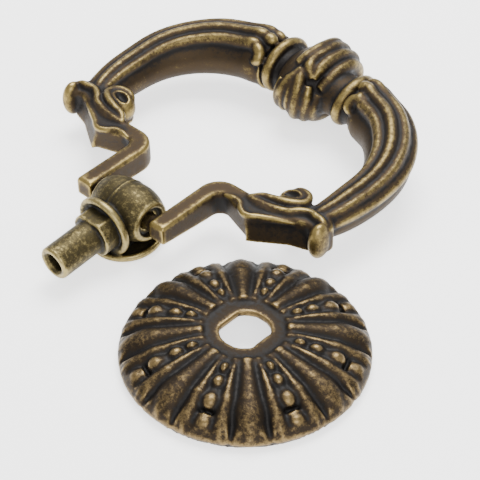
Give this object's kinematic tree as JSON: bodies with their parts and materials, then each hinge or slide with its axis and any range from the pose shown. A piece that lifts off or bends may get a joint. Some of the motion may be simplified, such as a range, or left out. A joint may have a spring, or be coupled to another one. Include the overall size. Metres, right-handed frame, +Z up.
{
  "type": "ring pull handle",
  "caption": "Antique brass ring pull: reeded drop ring with scrolled arms on a pivot post, and a petalled round rosette beside it.",
  "frame": {"origin": "on the table, at the middle of the space taken by the pull and the rosette", "axes": "+X along the pivot line, towards the rosette; +Y from the post towards the knot of the ring; +Z up from the table"},
  "size_m": [0.0862, 0.085, 0.0157],
  "materials": {
    "bail": "antique, dark in the hollows and rubbed bright on the edges",
    "post": "antique, rubbed",
    "rosette": "antique, darker than the ring"
  },
  "bodies": {
    "post": {"pivot_post": "post", "rosette": "rosette"},
    "bail": {"ring_bail": "bail"}
  },
  "joints": [
    {"name": "bail_swing", "type": "hinge", "parent": "post", "child": "bail", "pos_m": [-0.01117, -0.01458, 0.0066], "axis": [1, 0, 0], "range_deg": [-86, 93]}
  ]
}
